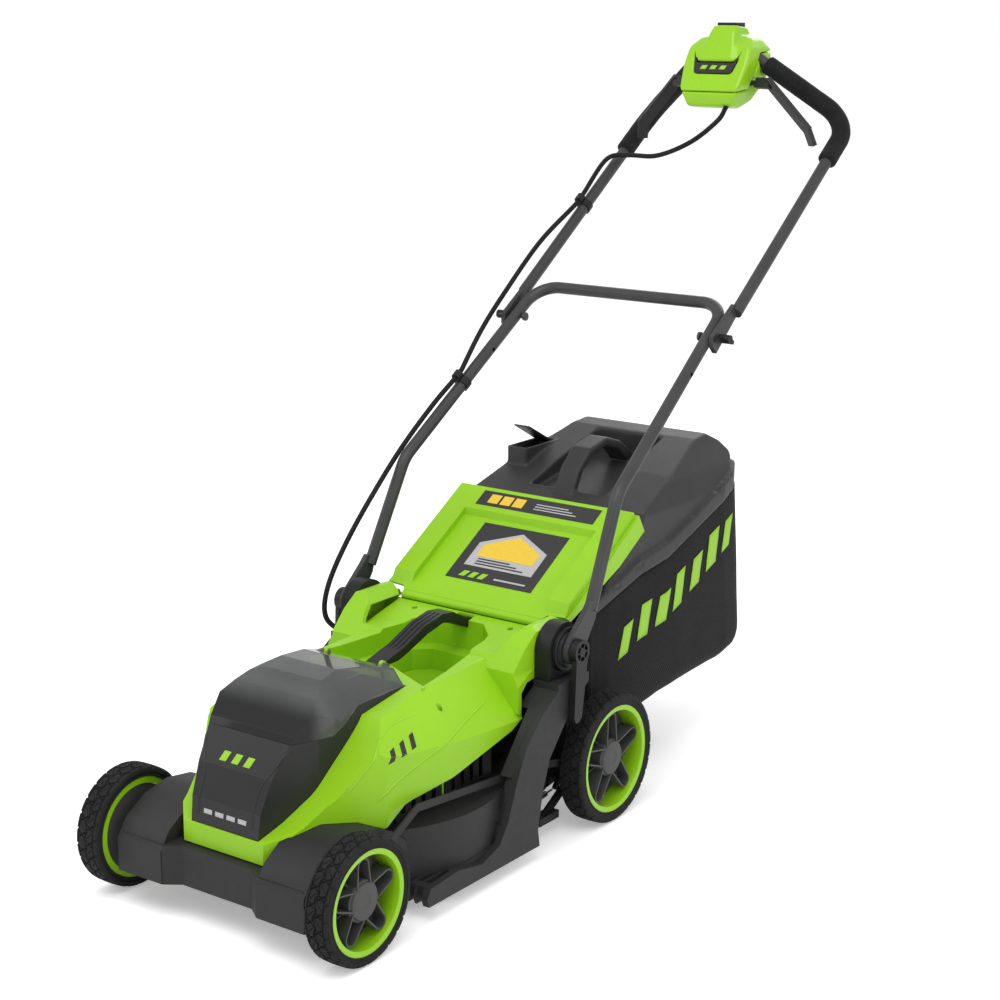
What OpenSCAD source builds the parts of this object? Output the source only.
// Push lawn mower: battery-electric, rear bag, fold-down handle.
// Millimetres. X across, -Y forward, +Z up. Origin on the ground under the middle of the box.

/* [Wheels] */
// Radius of the front tyres
front_tyre_r = 80; // [78:1:81]
// Radius of the rear tyres
rear_tyre_r = 92.5; // [91:0.5:93]
// Width of a tyre
tyre_w = 37; // [34:1:37]

/* [Handle] */
// Radius of the handle tubes
tube_r = 9; // [8.5:0.5:9]
// Wall of the handle tubes
tube_wall = 1.4; // [1:0.2:2]
// Outer radius of the foam grips
grip_r = 15; // [13:0.5:16]

/* [Cutting] */
// Tip radius of the blade
blade_r = 174; // [165:1:176]
// Thickness of the moulded deck walls
deck_wall = 4; // [3:0.5:4]

/* [Cable] */
// Radius of the control cable
cable_r = 3.8; // [3:0.2:4]

/* [Output] */
// Sub-part to draw, or all

/* [Hidden] */
$fn = 48;
shift_y = -40;
rear_axle = [0, 92.5];
front_axle = [-540.6, 80];
rear_crank = [-31, 68.5];
front_crank = [-571.6, 56];
rod_arm = [-16.8, 21.7];
spring_tab = [-48, 49];
pivot = [-92, 273];
bolt = [290, 645];
blade_c = [0, -296];
wheel_out = 210;
axle_r = 5;
fit = 0.1;
bolt_r = 4;
lap = 0.6;
swell = 0.05;
seam = [-60, 288];
flap_angle = 30.9;
bail_axis = [610, 995];
lid_axis = [-314, 283];

green = [0.56, 0.83, 0.16];
black = [0.16, 0.16, 0.16];
char = [0.24, 0.24, 0.24];
grey = [0.36, 0.36, 0.36];
zinc = [0.72, 0.73, 0.75];

// ---- helpers ----

module placed(c) {
  color(c) translate([0, shift_y, 0]) children();
}

module side_prism(pts, x0, x1) {
  translate([x0, 0, 0]) rotate([90, 0, 90]) linear_extrude(x1 - x0) polygon(pts);
}

module front_prism(pts, y0, y1) {
  translate([0, y1, 0]) rotate([90, 0, 0]) linear_extrude(y1 - y0) polygon(pts);
}

module plan_prism(pts, z0, z1) {
  translate([0, 0, z0]) linear_extrude(z1 - z0) polygon(pts);
}

module block(x0, x1, y0, y1, z0, z1) {
  translate([x0, y0, z0]) cube([x1 - x0, y1 - y0, z1 - z0]);
}

module x_cyl(r, x0, x1, p) {
  translate([x0, p[0], p[1]]) rotate([0, 90, 0]) cylinder(r = r, h = x1 - x0);
}

module mirrored() {
  children();
  mirror([1, 0, 0]) children();
}

function unit(v) = v / norm(v);
function even(half) = concat(half, [for (i = [len(half) - 1 : -1 : 0]) [-half[i][0], half[i][1]]]);
function flip_x(p) = [-p[0], p[1], p[2]];

// Round bar from a to b.
module bar(a, b, r) {
  d = b - a;
  l = norm(d);
  translate(a) rotate([0, acos(d[2] / l), atan2(d[1], d[0])]) cylinder(r = r, h = l);
}

// Flat arm from a to b, w wide along side and t thick.
module slab(a, b, side, w, t) {
  u = unit(b - a);
  n = unit(cross(u, side));
  s = cross(n, u);
  multmatrix([
    [u[0], s[0], n[0], a[0]],
    [u[1], s[1], n[1], a[1]],
    [u[2], s[2], n[2], a[2]],
    [0, 0, 0, 1]
  ]) translate([0, -w / 2, -t / 2]) cube([norm(b - a), w, t]);
}

// One bend of a bent tube: torus segment at corner p between a and b.
module elbow(a, p, b, bend, r) {
  u = unit(p - a);
  v = unit(b - p);
  turn = acos(u * v);
  t = bend * tan(turn / 2);
  w = unit(v - (u * v) * u);
  n = cross(u, w);
  c = p - t * u + bend * w;
  multmatrix([
    [-w[0], u[0], n[0], c[0]],
    [-w[1], u[1], n[1], c[1]],
    [-w[2], u[2], n[2], c[2]],
    [0, 0, 0, 1]
  ]) rotate_extrude(angle = turn) translate([bend, 0]) circle(r);
}

function setback(a, p, b, bend) = bend * tan(acos(unit(p - a) * unit(b - p)) / 2);

// Bent round bar through points pts with a bend radius at each inner point.
module bent(pts, bends, r) {
  n = len(pts);
  for (i = [0 : n - 2]) {
    d = unit(pts[i + 1] - pts[i]);
    s = (i == 0) ? 0 : setback(pts[i - 1], pts[i], pts[i + 1], bends[i]) - lap;
    e = (i == n - 2) ? 0 : setback(pts[i], pts[i + 1], pts[i + 2], bends[i + 1]) - lap;
    bar(pts[i] + s * d, pts[i + 1] - e * d, r);
  }
  for (i = [1 : n - 2]) {
    elbow(pts[i - 1], pts[i], pts[i + 1], bends[i], r + swell);
  }
}

// Smooth cable: Catmull-Rom through route points, one closed skin of eight-sided rings.
function cr(a, b, c, d, t) =
  0.5 * ((2 * b) + (c - a) * t + (2 * a - 5 * b + 4 * c - d) * t * t
  + (3 * b - a - 3 * c + d) * t * t * t);
function route(p, k) = [
  for (i = [0 : len(p) - 2]) for (j = [0 : k - 1])
    cr(p[max(i - 1, 0)], p[i], p[i + 1], p[min(i + 2, len(p) - 1)], j / k),
  p[len(p) - 1]
];
function tangent(q, i) = unit(q[min(i + 1, len(q) - 1)] - q[max(i - 1, 0)]);
module cable(p, k, r) {
  q = route(p, k);
  n = len(q);
  sides = 8;
  pts = [
    for (i = [0 : n - 1])
      let (t = tangent(q, i), s = unit(cross(t, [1, 0.31, 0.17])), b = cross(t, s))
        for (j = [0 : sides - 1]) q[i] + r * (cos(45 * j) * s + sin(45 * j) * b)
  ];
  walls = [
    for (i = [0 : n - 2]) for (j = [0 : sides - 1])
      [i * sides + j, i * sides + (j + 1) % sides, (i + 1) * sides + (j + 1) % sides,
       (i + 1) * sides + j]
  ];
  first = [for (j = [sides - 1 : -1 : 0]) j];
  last = [for (j = [0 : sides - 1]) (n - 1) * sides + j];
  polyhedron(points = pts, faces = concat(walls, [first], [last]), convexity = 10);
}

// ---- wheels ----

module on_axle(p) {
  translate([0, p[0], p[1]]) rotate([0, 90, 0]) children();
}

module tyre(r, ring, p) {
  x0 = wheel_out - tyre_w;
  notches = 18;
  on_axle(p) difference() {
    rotate_extrude() polygon([
      [ring, x0 + 1], [r - 5, x0], [r - 1, x0 + 4], [r, x0 + 9], [r, wheel_out - 9],
      [r - 1, wheel_out - 4], [r - 5, wheel_out], [ring, wheel_out - 1]
    ]);
    for (i = [0 : notches - 1]) {
      rotate(i * 360 / notches) translate([r - 2.5, -1.5, wheel_out - 11]) cube([6, 3, 14]);
      rotate((i + 0.5) * 360 / notches) translate([r - 2.5, -1.5, x0 - 3]) cube([6, 3, 14]);
    }
  }
}

module rim(r, ring, p) {
  x0 = wheel_out - tyre_w;
  on_axle(p) rotate_extrude() polygon([
    [ring, x0 + 2], [ring, wheel_out - 1.5], [ring - 8, wheel_out - 2.5],
    [ring - 9, wheel_out - 22], [ring - 9, x0 + 2]
  ]);
}

// Bar of a wheel spoke with a round outer end, lying along +X.
module lobe(from, to, r, h) {
  translate([from, -r, 0]) cube([to - from, 2 * r, h]);
  translate([to, 0, 0]) cylinder(r = r, h = h);
}

module hub(ring, p) {
  inner = ring - 9;
  lobe_r = 9.5;
  reach = inner - lobe_r - 1.4;
  x_back = wheel_out - tyre_w + 3;
  on_axle(p) difference() {
    union() {
      translate([0, 0, x_back]) cylinder(r = inner, h = 4);
      translate([0, 0, x_back]) cylinder(r = 21, h = 26);
      for (i = [0 : 4]) {
        rotate(72 * i + 20) translate([0, 0, x_back + 2]) lobe(12, reach, lobe_r, 22);
      }
    }
    for (i = [0 : 4]) {
      rotate(72 * i + 20) translate([0, 0, x_back + 8]) lobe(26, reach, lobe_r - 2.5, 20);
      rotate(72 * i + 56) translate([inner - 14, 0, x_back - 1]) cylinder(r = 7, h = 6);
    }
    translate([0, 0, x_back - 1]) cylinder(r = axle_r + fit, h = 25);
  }
}

module tyre_fr() { placed(black) tyre(front_tyre_r, 66.6, front_axle); }
module rim_fr() { placed(green) rim(front_tyre_r, 66.6, front_axle); }
module hub_fr() { placed(grey) hub(66.6, front_axle); }
module tyre_fl() { mirror([1, 0, 0]) tyre_fr(); }
module rim_fl() { mirror([1, 0, 0]) rim_fr(); }
module hub_fl() { mirror([1, 0, 0]) hub_fr(); }
module tyre_rr() { placed(black) tyre(rear_tyre_r, 76.7, rear_axle); }
module rim_rr() { placed(green) rim(rear_tyre_r, 76.7, rear_axle); }
module hub_rr() { placed(grey) hub(76.7, rear_axle); }
module tyre_rl() { mirror([1, 0, 0]) tyre_rr(); }
module rim_rl() { mirror([1, 0, 0]) rim_rr(); }
module hub_rl() { mirror([1, 0, 0]) hub_rr(); }

// ---- height adjustment ----

// Flat arm between two centres in a side plane.
module link_plate(a, b, x0, x1, r) {
  d = b - a;
  side = r * [-d[1], d[0]] / norm(d);
  x_cyl(r, x0, x1, a);
  x_cyl(r, x0, x1, b);
  side_prism([a + side, a - side, b - side, b + side], x0, x1);
}

module axle_rod(crank, axle, torsion_r) {
  x_cyl(torsion_r, -160, 160, crank);
  mirrored() {
    link_plate(crank, axle, 160, 166, 9);
    x_cyl(axle_r, 166, 197, axle);
    x_cyl(9, 166, 171, axle);
  }
}

module front_axle_rod() {
  placed(grey) {
    axle_rod(front_crank, front_axle, 6);
    link_plate(front_crank, front_crank + rod_arm, 160, 166, 6);
    x_cyl(3, 166, 171.5, front_crank + rod_arm);
  }
}

module rear_axle_rod() {
  placed(grey) {
    axle_rod(rear_crank, rear_axle, 6);
    link_plate(rear_crank, rear_crank + rod_arm, 160, 166, 6);
    x_cyl(3, 166, 171.5, rear_crank + rod_arm);
    link_plate(rear_crank, spring_tab, 136, 142, 3.5);
  }
}

// Lever with a cross grip, fixed to the rear axle arm.
module height_lever() {
  grip = [-100, 27];
  placed(char) difference() {
    union() {
      link_plate([-38, 62], grip, 152.5, 158, 6);
      translate([148, grip[0] - 24, grip[1] - 6]) cube([18, 46, 11]);
      x_cyl(11, 152.5, 158, rear_crank);
    }
    x_cyl(6, 140, 170, rear_crank);
  }
}

rod_front = front_crank + rod_arm;
rod_rear = rear_crank + rod_arm;

module link_rod() {
  pts = [rod_front, rod_front + [10, 26], [-462, 104], [-440, 122], [-398, 143], [-140, 117],
    [-85, 104], rod_rear];
  placed(char) difference() {
    union() {
      for (i = [0 : len(pts) - 2]) {
        link_plate(pts[i], pts[i + 1], 167.5, 170.5, 5);
      }
    }
    x_cyl(3 + fit, 160, 175, rod_front);
    x_cyl(3 + fit, 160, 175, rod_rear);
  }
}

// Tension spring between the deck and the rear axle arm.
module lift_spring() {
  placed(zinc) {
    bar([139, -146, 41], [139, -72, 47], 4);
    bar([139, -181.9, 38], [139, -146, 41], 1.4);
    bar([139, -72, 47], [139, -56.5, 48.2], 1.4);
  }
}

// ---- deck ----

fender = [[-598, 46], [-598, 90], [-582, 113], [-548, 134], [-508, 142], [-466, 136], [-428, 118],
  [-398, 92], [-398, 60], [-440, 46]];
fender_in = [[-594, 40], [-594, 88], [-579, 110], [-547, 130], [-508, 138], [-467, 132], [-431, 115],
  [-402, 90], [-402, 60], [-440, 40]];
nose = even([[58, -583], [78, -597], [152, -594], [152, -470], [110, -430]]);
tunnel = [[-225, 100], [-150, 125], [-100, 180], [-70, 225], [-56, 282], [-50, 282], [10, 108],
  [10, 82], [-78, 60], [-118, 24], [-225, 24]];
tunnel_in = [[-228, 96], [-148, 121], [-97, 177.5], [-66.5, 223.5], [-52, 283], [-20, 310],
  [80, 130], [9, 104], [-80, 64.5], [-121, 10], [-228, 10]];

module deck_shell() {
  c = blade_c[1];
  placed(char) difference() {
    union() {
      translate([0, c, 22]) cylinder(r = 188, h = 90, $fn = 96);
      plan_prism(nose, 46, 98);
      mirrored() side_prism(fender, 80, 156);
      side_prism(tunnel, -128, 128);
      mirrored() {
        side_prism([[-190, 96], [-140, 150], [-70, 232], [-52, 232], [-20, 140], [-20, 56],
          [-60, 50], [-118, 30], [-190, 30]], 127, 144);
        side_prism([[-470, 106], [-190, 106], [-190, 112], [-470, 112]], 100, 152);
      }
      translate([0, c, 108]) cylinder(r = 66, h = 8);
    }
    translate([0, c, 10]) cylinder(r = 188 - deck_wall, h = 97, $fn = 96);
    translate([0, c, 90]) cylinder(r = 14, h = 40);
    intersection() {
      plan_prism(even([[54, -579], [76, -593], [148, -590], [148, -474], [110, -440]]), 40, 94);
      difference() {
        block(-160, 160, -600, -400, 40, 94);
        translate([0, c, 0]) cylinder(r = 188, h = 140, $fn = 96);
      }
    }
    mirrored() difference() {
      side_prism(fender_in, 84, 152);
      translate([0, c, 0]) cylinder(r = 188, h = 140, $fn = 96);
    }
    side_prism(tunnel_in, -124, 124);
    mirrored() side_prism([[-182, 20], [-182, 92], [-140, 140], [-76, 216], [-60, 216], [-30, 136],
      [-30, 20]], 132, 160);
    x_cyl(6 + fit, -170, 170, front_crank);
    x_cyl(6 + fit, -170, 170, rear_crank);
    block(-50, 50, -120, -100, 10, 32);
  }
}

// Side strut and grass comb, one moulding each side.
strut = [[-413, 22], [-417, 34], [-409, 46], [-352, 50], [-302, 40], [-264, 52], [-245, 78],
  [-224, 130], [-204, 168], [-165, 206], [-131, 226], [-131, 235.5], [-58, 235.5], [-58, 222],
  [-84, 205], [-112, 180], [-150, 137], [-166, 94], [-176, 44], [-172, 20], [-196, 20]];
comb = [[-413, 22], [-417, 34], [-409, 46], [-330, 46], [-330, 22]];

module side_frame_r() {
  placed(char) {
    side_prism(strut, 189, 199);
    side_prism([[-226, 132], [-165, 206], [-131, 226], [-131, 235.5], [-58, 235.5], [-58, 222],
      [-84, 205], [-112, 180], [-150, 137]], 172, 189);
    side_prism([[-164, 207], [-131, 226], [-131, 235.5], [-58, 235.5], [-58, 222], [-84, 205],
      [-120, 190]], 157.3, 172);
    difference() {
      union() {
        side_prism(comb, 164, 167);
        side_prism(comb, 176, 179);
        block(164, 189, -409, -397, 34, 46);
        side_prism([[-352, 40], [-352, 46], [-250, 52], [-250, 40]], 160, 189);
        side_prism([[-262, 40], [-250, 72], [-238, 72], [-238, 40]], 174, 189);
      }
      translate([0, blade_c[1], 10]) cylinder(r = 188.3, h = 113, $fn = 96);
    }
  }
}
module side_frame_l() { mirror([1, 0, 0]) side_frame_r(); }

// Louvred wall between the deck and the cover.
module vent_panel() {
  placed(black) difference() {
    plan_prism(even([[132, -394], [136, -300], [136, -196]]), 112, 186);
    plan_prism(even([[129, -391], [133, -300], [133, -199]]), 111, 187);
    for (i = [0 : 8]) block(-150, 150, -384 + 20 * i, -376 + 20 * i, 120, 178);
    block(-51, 51, -400, -386, 110, 188);
  }
}

// ---- hood, lid and battery ----

hood_side = [[-566, 126], [-562, 160], [-545, 200], [-512, 248], [-470, 284], [-440, 298],
  [-405, 302], [-350, 294], [-312, 282], [-312, 236], [-430, 226], [-492, 166], [-532, 140]];
hood_plan = even([[56, -566], [64, -530], [80, -480], [88, -430], [88, -312]]);
hood_front = even([[95, 110], [90, 230], [84, 262], [60, 292], [44, 304]]);
lid_zone = [[-600, 244], [-455, 236], [-408, 262], [-300, 262], [-300, 330], [-600, 330]];

module hood_block() {
  intersection() {
    side_prism(hood_side, -100, 100);
    plan_prism(hood_plan, 100, 320);
    front_prism(hood_front, -600, -300);
  }
}

module shrunk(k, c) {
  translate(c) scale(k) translate(-c) children();
}

module hood() {
  placed(black) difference() {
    hood_block();
    shrunk(0.955, [0, -400, 190]) hood_block();
    side_prism(lid_zone, -120, 120);
    block(-80, 80, -430, -300, 200, 262);
    block(-52, 52, -486, -360, 100, 240);
  }
}

module battery_lid() {
  placed([0.3, 0.31, 0.31, 0.6]) {
    difference() {
      intersection() {
        hood_block();
        translate([0, 0, 0.4]) side_prism(lid_zone, -120, 120);
        block(-120, 120, -620, -316, 200, 340);
      }
      shrunk(0.965, [0, -400, 200]) hood_block();
      mirrored() x_cyl(9, 43, 57, lid_axis);
    }
    mirrored() {
      link_plate(lid_axis, lid_axis + [-18, 0.5], 50.5, 56, 3.6);
      x_cyl(3, 43.5, 51, lid_axis);
    }
  }
}

module battery_bay() {
  placed(black) difference() {
    block(-50, 50, -484, -363, 112, 205);
    block(-45.5, 45.5, -478, -368, 128, 210);
  }
}

module battery() {
  placed(char) difference() {
    union() {
      block(-45, 45, -477.5, -368.5, 128, 212);
      side_prism([[-477.5, 212], [-466, 256], [-440, 264], [-384, 264], [-368.5, 250],
        [-368.5, 212]], -42, 42);
    }
    block(-30, 30, -458, -452, 258, 268);
    block(-50, 50, -410, -404, 225, 245);
  }
}

// ---- top cover ----

cover_side = [[-570, 100], [-569, 126.5], [-531, 142], [-491, 168], [-430, 228], [-404, 250],
  [-311, 262], [-235, 262], [-140, 266], [-62, 284], [-62, 236], [-104, 236], [-150, 236],
  [-166, 226], [-166, 192], [-190, 181], [-312, 153], [-384, 147], [-400, 144], [-415, 134],
  [-432, 122], [-480, 118]];
cover_plan = even([[66, -570], [92, -544], [108, -500], [126, -468], [148, -430], [154, -380],
  [160, -300], [165, -180], [165, -160]]);
cover_front = even([[172, 90], [166, 190], [156, 205], [104, 264], [80, 270]]);
shoulder_plan = even([[165, -176], [157, -130], [157, -62]]);
shoulder_front = even([[166, 180], [165, 236], [157, 250], [157, 300], [140, 306], [124, 290],
  [114, 270]]);

module cover_block() {
  intersection() {
    side_prism(cover_side, -180, 180);
    plan_prism(cover_plan, 90, 320);
    front_prism(cover_front, -600, -160);
  }
}

module shoulder_block() {
  intersection() {
    side_prism([[-176, 200], [-176, 255], [-150, 282], [-118, 304], [-64, 304], [-64, 236],
      [-150, 236], [-166, 226], [-166, 192]], -180, 180);
    plan_prism(shoulder_plan, 90, 320);
    front_prism(shoulder_front, -200, -60);
  }
}

pocket_top = even([[20, -262], [104, -302], [66, -108], [40, -84]]);
pocket_low = even([[20, -254], [80, -285], [50, -130], [30, -110]]);

module pocket() {
  plan_prism(pocket_top, 236, 330);
  plan_prism(pocket_low, 206, 240);
}

module pocket_wall() {
  plan_prism(even([[20, -267], [109, -309], [70, -104], [44, -80]]), 232, 290);
  plan_prism(even([[20, -259], [84, -291], [54, -126], [34, -106]]), 202, 236);
}

screw_at = [[127, -298, 112.2, 172], [84, -81, 224, 250]];

module cover_skin() {
  difference() {
    union() {
      cover_block();
      shoulder_block();
    }
    shrunk(0.962, [0, -300, 60]) cover_block();
    shrunk(0.955, [0, -110, 150]) shoulder_block();
  }
}

module cover_posts() {
  intersection() {
    mirrored() for (p = screw_at) {
      translate([p[0], p[1], p[2]]) cylinder(r = 6, h = 120);
    }
    union() {
      cover_block();
      shoulder_block();
      block(-160, 160, -320, -60, 100, 240);
    }
  }
}

// Sloping rear edge of the cover, up to the flap's hinge, notched for the carry handle.
module rear_ramp() {
  difference() {
    side_prism([[-165, 257], [-165, 262], [-140, 266], [-63, 283.5], [-63, 268], [-68, 268],
      [-68, 277], [-140, 261]], -124, 124);
    block(-14, 14, -103, -67.9, 262, 300);
  }
}

// Ear that carries one end of the lid's hinge.
module lid_ear() {
  x_cyl(5.6, 44, 49, lid_axis);
  side_prism([[-319.6, 283], [-308.4, 283], [-299, 262], [-299, 252], [-311, 252]], 44, 49);
}

// Lug that carries one end of the flap's pin.
module pin_lug() {
  x_cyl(6, 131, 137, seam);
  block(131, 137, -66, -60, 282, 291);
}

hood_throat = even([[50, -556], [58, -530], [74, -480], [82, -430], [84, -311.6]]);

module top_cover() {
  placed(green) difference() {
    union() {
      difference() {
        union() {
          cover_skin();
          intersection() {
            pocket_wall();
            union() {
              side_prism(cover_side, -180, 180);
              block(-75, 75, -175, -70, 200, 262);
            }
          }
          cover_posts();
          rear_ramp();
        }
        intersection() {
          for (drop = [0, 0.6]) {
            translate([0, 0, -drop]) shrunk(1.004, [0, -400, 190]) hood_block();
          }
          block(-120, 120, -600, -300, 90, 320);
        }
        plan_prism(hood_throat, 90, 330);
        x_cyl(7, -130, 130, seam);
      }
      mirrored() lid_ear();
      mirrored() pin_lug();
    }
    pocket();
    block(-14.1, 14.1, -292, -230, 262, 300);
    block(-14.1, 14.1, -103, -67.9, 270, 300);
    for (shift = [-0.8, 0.8]) {
      mirrored() translate([0, shift, 0.4]) side_prism(fender, 79.5, 170);
    }
    mirrored() side_prism([[-598, 40], [-598, 98.5], [-400, 98.5], [-400, 40]], 0, 170);
    for (p = screw_at) mirrored() {
      translate([p[0], p[1], p[3] - 22]) cylinder(r = 2.6, h = 40);
      translate([p[0], p[1], p[3]]) cylinder(r = 4.2, h = 120);
    }
    side_prism([[-230, 100], [-149, 125.5], [-99.5, 180.5], [-70.5, 225.5], [-56.5, 290],
      [-40, 290], [-40, 100]], -129, 129);
    x_cyl(3 + fit, -52, 52, lid_axis);
    x_cyl(2.5, -138, 138, seam);
    mirrored() x_cyl(5.2, 150, 170, pivot);
    x_cyl(cable_r + 0.3, -180, -130, [-140, 246]);
  }
}

module carry_handle() {
  arc = [[-290, 262], [-226, 278], [-180, 296], [-142, 303], [-118, 300], [-92, 286], [-68, 279],
    [-68, 270], [-88, 270], [-98, 274], [-122, 286], [-142, 290], [-176, 283], [-222, 267],
    [-240, 262]];
  placed(black) difference() {
    side_prism(arc, -14, 14);
    for (x = [-8, -0.75, 6.5]) {
      side_prism([[-300, 268], [-226, 276.5], [-180, 294.5], [-142, 301.5], [-142, 310],
        [-300, 310]], x, x + 1.5);
    }
  }
}

module cover_screws() {
  placed(black) for (p = screw_at) mirrored() {
    translate([p[0], p[1], p[3] - 21]) cylinder(r = 2.5, h = 21);
    translate([p[0], p[1], p[3]]) cylinder(r = 4, h = 3);
  }
}

// ---- handle pivots ----

module pivot_boss_r() {
  placed(black) difference() {
    union() {
      x_cyl(37, 158, 182, pivot);
      side_prism([[-129, 236], [-129, 273], [-60, 273], [-60, 236]], 158, 182);
    }
    x_cyl(31, 176, 183, pivot);
    x_cyl(bolt_r, 150, 190, pivot);
  }
}
module pivot_boss_l() { mirror([1, 0, 0]) pivot_boss_r(); }

module pivot_bolts() {
  placed(zinc) mirrored() {
    x_cyl(bolt_r, 158, 205.8, pivot);
  }
}

// Round hub on each end of the lower handle.
module handle_hubs() {
  placed(black) mirrored() difference() {
    union() {
      x_cyl(30.5, 176.5, 188, pivot);
      x_cyl(24, 188, 190.8, pivot);
    }
    x_cyl(bolt_r + fit, 170, 195, pivot);
  }
}

// Quick-release lever that clamps the pivot.
module cam_lever_r() {
  placed(char) difference() {
    union() {
      x_cyl(17, 199.4, 211, pivot);
      side_prism([[-106, 268], [-78, 268], [-92, 182], [-98, 176], [-106, 176], [-110, 184]],
        203, 211);
    }
    x_cyl(bolt_r + fit, 190, 206.2, pivot);
    difference() {
      x_cyl(12, 207, 212, pivot);
      x_cyl(6.5, 206, 213, pivot);
      for (a = [0 : 60 : 150]) {
        translate([0, pivot[0], pivot[1]]) rotate([a, 0, 0]) block(206, 213, -13, 13, -1, 1);
      }
    }
  }
}
module cam_lever_l() { mirror([1, 0, 0]) cam_lever_r(); }

// ---- lower handle ----

low_a = [195, -74, 288];
low_b = [193, -48, 318];
low_c = [186, 27, 465];
low_d = [168, 344, 686];
spare = [222, 601.1];

function low_x(y) = low_c[0] + (low_d[0] - low_c[0]) * (y - low_c[1]) / (low_d[1] - low_c[1]);
function low_z(y) = low_c[2] + (low_d[2] - low_c[2]) * (y - low_c[1]) / (low_d[1] - low_c[1]);

module lower_path(r) {
  bent([low_b, low_c, low_d, flip_x(low_d), flip_x(low_c), flip_x(low_b)],
    [0, 55, 42, 42, 55, 0], r);
}

module lower_tube() {
  placed(grey) difference() {
    union() {
      lower_path(tube_r);
      mirrored() {
        x_cyl(19, 191, 199, pivot);
        side_prism([[-106, 287], [-78, 259], [-44, 306], [-38, 326], [-54, 334], [-66, 322]],
          191, 199);
      }
    }
    difference() {
      lower_path(tube_r - tube_wall);
      mirrored() block(150, 220, -130, -34, 230, 334);
    }
    mirrored() {
      x_cyl(bolt_r + fit, 180, 210, pivot);
      x_cyl(3.2, 150, 190, bolt);
      x_cyl(3.3, 150, 200, spare);
    }
  }
}

module fold_bolts() {
  placed(zinc) mirrored() {
    x_cyl(3.2, 158, 206, bolt);
    x_cyl(6.5, 154, 158, bolt);
  }
}

// Two-ring clip: one ring on the tube at t, one round the cable at q.
module clip(t, q, along, r_tube) {
  a = unit(along);
  difference() {
    union() {
      bar(t - 6 * a, t + 6 * a, r_tube + 2.4);
      bar(q - 6 * a, q + 6 * a, cable_r + 2.9);
    }
    bar(t - 9 * a, t + 9 * a, r_tube + 0.05);
    bar(q - 9 * a, q + 9 * a, cable_r + 0.6);
  }
}

low_dir = unit(low_d - low_c);
clip_low_t = flip_x([low_x(160), 160, low_z(160)]);
clip_low_q = clip_low_t + [-4.5, -8.6, 12.6];

module cable_clip_low() {
  placed(black) clip(clip_low_t, clip_low_q, flip_x(low_dir), tube_r);
}

module cable_lower() {
  p = [clip_low_q + 12 * flip_x(low_dir), clip_low_q - 12 * flip_x(low_dir), [-192, 100, 530],
    [-197, 30, 475], [-197, -40, 415], [-196, -92, 366], [-195, -130, 322], [-195, -147, 287],
    [-193, -148, 262], [-183, -142, 248], [-166, -140, 246], [-148, -140, 246]];
  placed(black) cable(p, 4, cable_r);
}

// ---- upper handle ----

up_a = [189.8, 334, 676.8];
up_b = [183.5, 690, 934.2];
up_c = [40, 628, 1040];
up_dir = unit(up_b - up_a);
grip_low = up_b - 96 * up_dir;

module upper_path(r) {
  bent([up_a, up_b, up_c, flip_x(up_c), flip_x(up_b), flip_x(up_a)], [0, 48, 24, 24, 48, 0], r);
}

module upper_tube() {
  placed(grey) difference() {
    union() {
      upper_path(tube_r);
      mirrored() side_prism([[282, 624], [272, 634], [272, 650], [333, 689.5], [343, 675.7]],
        181.7, 188.8);
    }
    difference() {
      upper_path(tube_r - tube_wall);
      mirrored() block(170, 220, 240, 350, 600, 720);
    }
    mirrored() x_cyl(3.2 + fit, 170, 200, bolt);
  }
}

arch = unit(up_c - up_b);

module grip_r() {
  placed(black) difference() {
    bent([grip_low, up_b, up_b + 162 * arch], [0, 48, 0], grip_r);
    bent([grip_low - 5 * up_dir, up_b, up_b + 168 * arch], [0, 48, 0], tube_r);
  }
}
module grip_l() { mirror([1, 0, 0]) grip_r(); }

console_side = [[566, 958], [560, 984], [572, 1008], [596, 1052], [618, 1066], [648, 1066],
  [664, 1046], [660, 1012], [624, 966], [592, 955]];
console_front = even([[36, 950], [42, 962], [53, 990], [57, 1022], [56, 1046], [47, 1062],
  [36, 1068]]);
console_split = [[500, 976], [600, 985], [628, 1040], [700, 1046], [700, 1120], [500, 1120]];
hump_side = [[600, 1020], [581, 1031], [603, 1075], [612, 1084], [646, 1081], [662, 1052],
  [650, 1020]];
hump_front = even([[33, 1018], [32, 1030], [20, 1086]]);

module console_block() {
  intersection() {
    side_prism(console_side, -70, 70);
    front_prism(console_front, 500, 700);
  }
  intersection() {
    side_prism(hump_side, -70, 70);
    front_prism(hump_front, 500, 700);
  }
}

module console_cuts() {
  upper_path(tube_r);
  x_cyl(4 + fit, -80, 80, bail_axis);
  block(-17.8, 17.8, 615.7, 644.3, 1052, 1090);
  mirrored() bar(up_b + 120 * arch, up_b + 163 * arch, grip_r + 0.4);
}

module console_top() {
  placed(green) difference() {
    intersection() {
      console_block();
      side_prism(console_split, -80, 80);
    }
    intersection() {
      shrunk(0.9, [0, 610, 1012]) console_block();
      block(-38, 38, 500, 612, 900, 1064);
    }
    console_cuts();
    badge_block(0.1);
  }
}

module console_base() {
  placed(green) difference() {
    console_block();
    side_prism(console_split, -80, 80);
    block(-32, 32, 577, 600, 962, 1000);
    console_cuts();
    bar([30, 560, 952], [26, 590, 972], cable_r + 0.15);
    mirrored() block(48, 80, 596, 624, 950, 1003);
  }
}

module badge_block(g) {
  intersection() {
    side_prism([[571.7, 1008.2], [595.7, 1052.2], [600.4, 1049.6], [576.4, 1005.6]], -60, 60);
    front_prism(even([[32 + g, 1010 - g], [43 + g, 1045 + 2 * g], [33, 1026 + g]]), 500, 700);
  }
}

module console_badge() {
  placed(char) badge_block(0);
}

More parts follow.
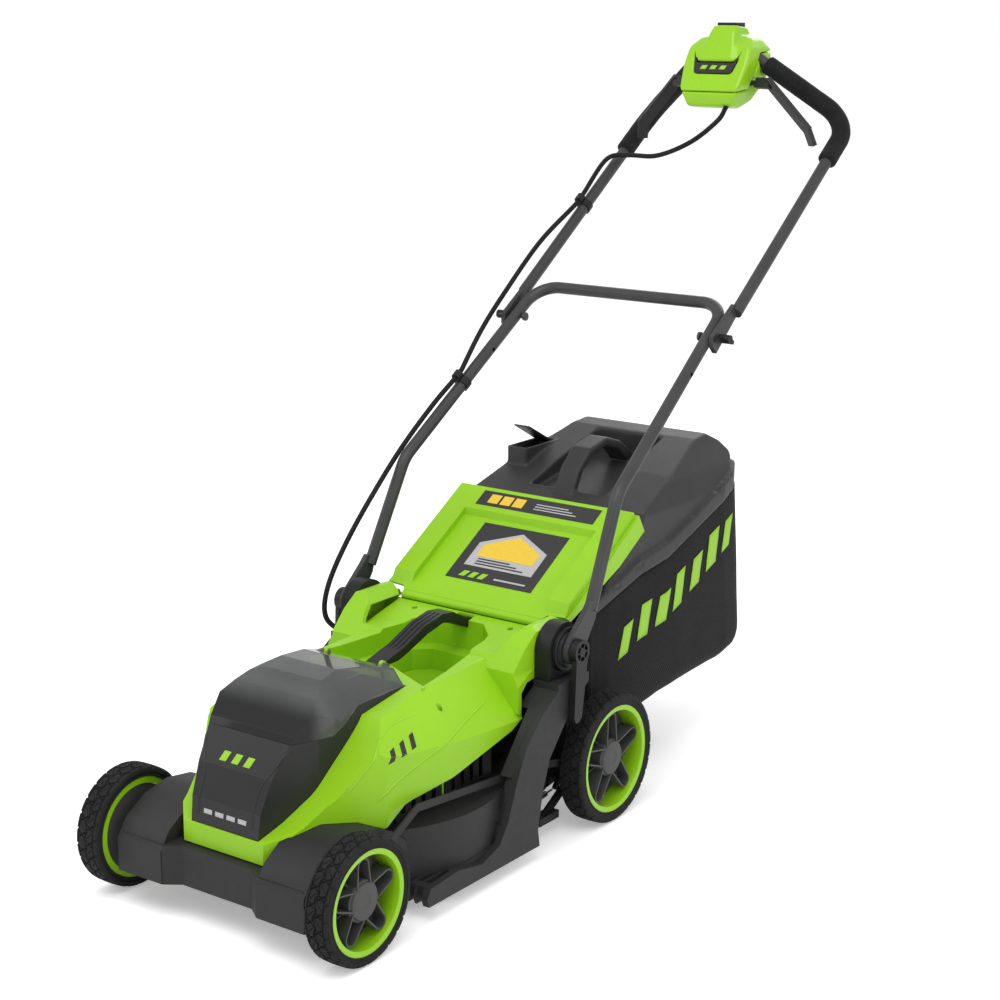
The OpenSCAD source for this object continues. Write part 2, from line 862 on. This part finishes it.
module lock_button() {
  placed(char) {
    block(-17.5, 17.5, 616, 644, 1057, 1087);
  }
}

bail_side = [-0.56, 0.67, -0.49];

module bail() {
  placed(char) {
    x_cyl(4, -71, 71, bail_axis);
    mirrored() {
      slab([60, 610, 995], [88, 604, 995], [0, 0.3, 1], 16, 10);
      slab([80, 606, 1000], [152, 614, 924], bail_side, 18, 8);
      slab([149, 613.7, 928], [156, 622, 902], bail_side, 17, 7.4);
    }
  }
}

clip_high_t = flip_x([up_a[0] - 2.9, up_a[1] + 166, up_a[2] + 120]);
clip_high_q = clip_high_t + [-4.5, -8.6, 12.6];

module cable_clip_high() {
  placed(black) clip(clip_high_t, clip_high_q, flip_x(up_dir), tube_r);
}

module cable_upper() {
  p = [[27, 583, 967], [29, 568, 957], [28, 545, 938], [-10, 530, 905], [-80, 545, 880],
    [-150, 568, 876], [-186, 560, 868], clip_high_q + 14 * flip_x(up_dir),
    clip_high_q, clip_high_q - 14 * flip_x(up_dir), [-200, 392, 748], [-202, 300, 678],
    [-196, 230, 628], clip_low_q + 13.6 * flip_x(low_dir)];
  placed(black) cable(p, 5, cable_r);
}

// Small wing knob on each fold bolt.
module knob_r() {
  placed(black) difference() {
    union() {
      x_cyl(6.5, 189, 207, bolt);
      side_prism([[bolt[0] - 4, bolt[1] - 5], [bolt[0] + 22, bolt[1] - 11],
        [bolt[0] + 24, bolt[1] - 6], [bolt[0] + 3, bolt[1] + 6]], 192, 200);
      side_prism([[bolt[0] + 4, bolt[1] + 5], [bolt[0] - 16, bolt[1] + 2],
        [bolt[0] - 17, bolt[1] - 3], [bolt[0] - 3, bolt[1] - 6]], 190, 197);
    }
    x_cyl(3.2 + fit, 180, 206.3, bolt);
  }
}
module knob_l() { mirror([1, 0, 0]) knob_r(); }

// ---- motor and blade ----

module motor() {
  c = blade_c[1];
  placed(grey) difference() {
    union() {
      translate([0, c, 116]) cylinder(r = 58, h = 40.2);
      translate([0, c, 156.2]) cylinder(r = 40, h = 12);
    }
    translate([0, c, 110]) cylinder(r = 8.1, h = 46);
    for (a = [0 : 30 : 330]) {
      translate([0, c, 0]) rotate(a) block(46, 70, -3, 3, 124, 150);
    }
  }
}

module blade_hub() {
  c = blade_c[1];
  placed(char) difference() {
    union() {
      translate([0, c, 48]) cylinder(r = 8, h = 104);
      translate([0, c, 40]) cylinder(r = 26, h = 12);
      for (a = [0 : 60 : 300]) {
        translate([0, c, 0]) rotate(a) block(10, 54, -1.5, 1.5, 52, 66);
      }
      translate([0, c, 50]) cylinder(r = 55, h = 3);
    }
    translate([0, c, 30]) cylinder(r = 4, h = 40);
  }
}

module blade() {
  c = blade_c[1];
  placed(zinc) difference() {
    union() {
      plan_prism([[blade_r - 5, c - 24], [blade_r, c - 4],
        [blade_r - 40, c + 24], [-blade_r + 5, c + 24], [-blade_r, c + 4],
        [-blade_r + 40, c - 24]], 37, 40);
      for (s = [0, 180]) {
        translate([0, c, 0]) rotate(s) side_prism([[12, 40], [24, 40], [30, 50], [28, 51],
          [22.5, 43]], 110, 150);
      }
    }
    translate([0, c, 30]) cylinder(r = 4, h = 20);
  }
}

module blade_bolt() {
  c = blade_c[1];
  placed(zinc) {
    translate([0, c, 37]) cylinder(r = 4, h = 31);
    translate([0, c, 30]) cylinder(r = 8.5, h = 7);
  }
}

// ---- rear flap and bag ----

module on_flap() {
  translate([0, seam[0], seam[1]]) rotate([flap_angle, 0, 0]) children();
}

module flap_pin() {
  placed(zinc) x_cyl(2.5, -138, 138, seam);
}

module rear_flap() {
  w = 158;
  l = 224;
  top = 14;
  placed(green) on_flap() difference() {
    union() {
      plan_prism([[-121, 4], [121, 4], [126, 12], [154, 14], [w, l], [-w, l], [-154, 14],
        [-126, 12]], 2, 6);
      mirrored() {
        front_prism([[w - 4, -24], [w, -24], [w, 4], [w - 4, 4]], 150, l);
        side_prism([[15, 3], [15, -4], [150, -24], [150, 3]], w - 4, w);
        side_prism([[17, 5], [34, top], [l - 3, top], [l - 3, 5]], 116, 153);
      }
      side_prism([[166, 5], [174, top], [l - 3, top], [l - 3, 5]], -117, 117);
      block(-w, w, l - 4, l, -8, 4);
      x_cyl(5.6, -121, 121, [0, 0]);
      block(-121, 121, 0, 10, 1.6, 5.6);
    }
    x_cyl(2.5 + fit, -130, 130, [0, 0]);
  }
}

module flap_label() {
  placed([0.2, 0.2, 0.2]) on_flap() {
    block(-72, 78, 44, 158, 6, 6.6);
    block(-104, 104, 184, 214, 14, 14.6);
  }
}

indicator_axis = [296, 453];

bag_top = [[12, 290], [24, 304], [118, 362], [150, 403], [250, 440], [360, 474], [396, 477],
  [424, 462], [446, 432], [440, 407]];
bag_rim = [[6, 284], [12, 304], [136, 342], [214, 352], [442, 432], [446, 404], [212, 326],
  [138, 318]];

bag_lid = concat(bag_top, [[212, 330], [138, 322], [10, 284]]);
bag_lid_in = [[12, 286], [26, 300], [120, 358], [152, 399], [250, 436], [360, 470], [394, 473],
  [420, 460], [440, 430], [436, 380], [200, 300], [0, 250]];
bag_grip = [[160, 400], [186, 446], [216, 472], [262, 482], [300, 470], [342, 440], [338, 430],
  [326, 430], [296, 456], [262, 468], [222, 460], [198, 440], [178, 404]];
recess = even([[70, 176], [62, 356]]);
recess_in = even([[66, 180], [58, 352]]);

module bag_lid_skin() {
  difference() {
    intersection() {
      side_prism(bag_lid, -153, 153);
      front_prism(even([[153, 270], [153, 400], [140, 432], [118, 462], [96, 500]]), 0, 470);
      plan_prism(even([[150, 0], [153, 30], [153, 370], [148, 404], [134, 432], [108, 450]]), 250,
        500);
    }
    translate([0, 0, -4.5]) intersection() {
      side_prism(bag_lid_in, -149, 149);
      front_prism(even([[149, 230], [149, 398], [136, 430], [115, 460], [94, 500]]), -10, 470);
      plan_prism(even([[146, -10], [149, 30], [149, 368], [144, 401], [130, 428], [105, 445]]),
        230, 500);
    }
    plan_prism(recess_in, 398, 500);
  }
}

module bag_rim_band() {
  difference() {
    intersection() {
      side_prism(bag_rim, -159, 159);
      plan_prism(even([[159, 0], [159, 372], [154, 408], [139, 438], [112, 456]]), 250, 500);
    }
    plan_prism(even([[152, -10], [152, 370], [147, 403], [133, 431], [106, 447]]), 240, 510);
    for (y = [70, 130, 200, 280, 360]) {
      mirrored() translate([164, y, 296 + 0.29 * y]) cube([20, 26, 4], center = true);
    }
  }
}

// Recess under the bag's handle: four walls and a sloping floor.
module bag_recess() {
  intersection() {
    difference() {
      plan_prism(recess, 380, 470);
      plan_prism(recess_in, 370, 480);
    }
    side_prism([[170, 396], [170, 412], [250, 438], [360, 472], [360, 436]], -80, 80);
  }
  intersection() {
    plan_prism(recess, 390, 462);
    side_prism([[170, 396], [170, 400], [360, 440], [360, 436]], -80, 80);
  }
}

module bag_frame() {
  placed(char) difference() {
    union() {
      bag_lid_skin();
      bag_rim_band();
      bag_recess();
      side_prism(bag_grip, -17, 17);
      block(-138, -102, 218, 304, 425, 457);
    }
    block(-134.5, -105.5, 222, 300, 429, 500);
    x_cyl(2.1, -137, -103, indicator_axis);
    mirrored() block(153.4, 165, 5, 16.5, 301.8, 320);
  }
}

module bag_fabric() {
  outer = [[14, 100], [14, 282.5], [138, 316.5], [212, 324.5], [442, 402], [470, 150], [456, 128],
    [398, 118], [321, 116], [218, 110], [120, 98]];
  inner = [[10, 103], [10, 330], [138, 360], [212, 370], [438, 440], [466, 151], [454, 131],
    [398, 121], [321, 119], [218, 113], [120, 101]];
  plan = even([[150, 10], [153, 60], [153, 400], [138, 456], [120, 474]]);
  plan_in = even([[147, -10], [150, 60], [150, 398], [136, 453], [118, 470]]);
  placed(black) difference() {
    intersection() {
      side_prism(outer, -160, 160);
      plan_prism(plan, 90, 480);
    }
    intersection() {
      side_prism(inner, -160, 160);
      plan_prism(plan_in, 80, 480);
    }
  }
}

module bag_flap() {
  placed(black) {
    x_cyl(2, -136.8, -103.2, indicator_axis);
    side_prism([[297, 453], [296, 454.5], [232, 488], [231, 486], [295, 451.5]], -134, -106);
  }
}

deck_shell();
side_frame_r();
side_frame_l();
top_cover();
vent_panel();
hood();
carry_handle();
pivot_boss_r();
pivot_boss_l();
motor();
battery_bay();
battery();
cover_screws();
flap_pin();
pivot_bolts();
lift_spring();
blade();
blade_hub();
blade_bolt();
front_axle_rod();
rear_axle_rod();
height_lever();
link_rod();
tyre_fr();
rim_fr();
hub_fr();
tyre_fl();
rim_fl();
hub_fl();
tyre_rr();
rim_rr();
hub_rr();
tyre_rl();
rim_rl();
hub_rl();
lower_tube();
handle_hubs();
fold_bolts();
cable_clip_low();
cable_lower();
cam_lever_r();
cam_lever_l();
upper_tube();
grip_r();
grip_l();
console_top();
console_base();
console_badge();
cable_clip_high();
cable_upper();
knob_r();
knob_l();
bail();
lock_button();
battery_lid();
rear_flap();
flap_label();
bag_frame();
bag_fabric();
bag_flap();
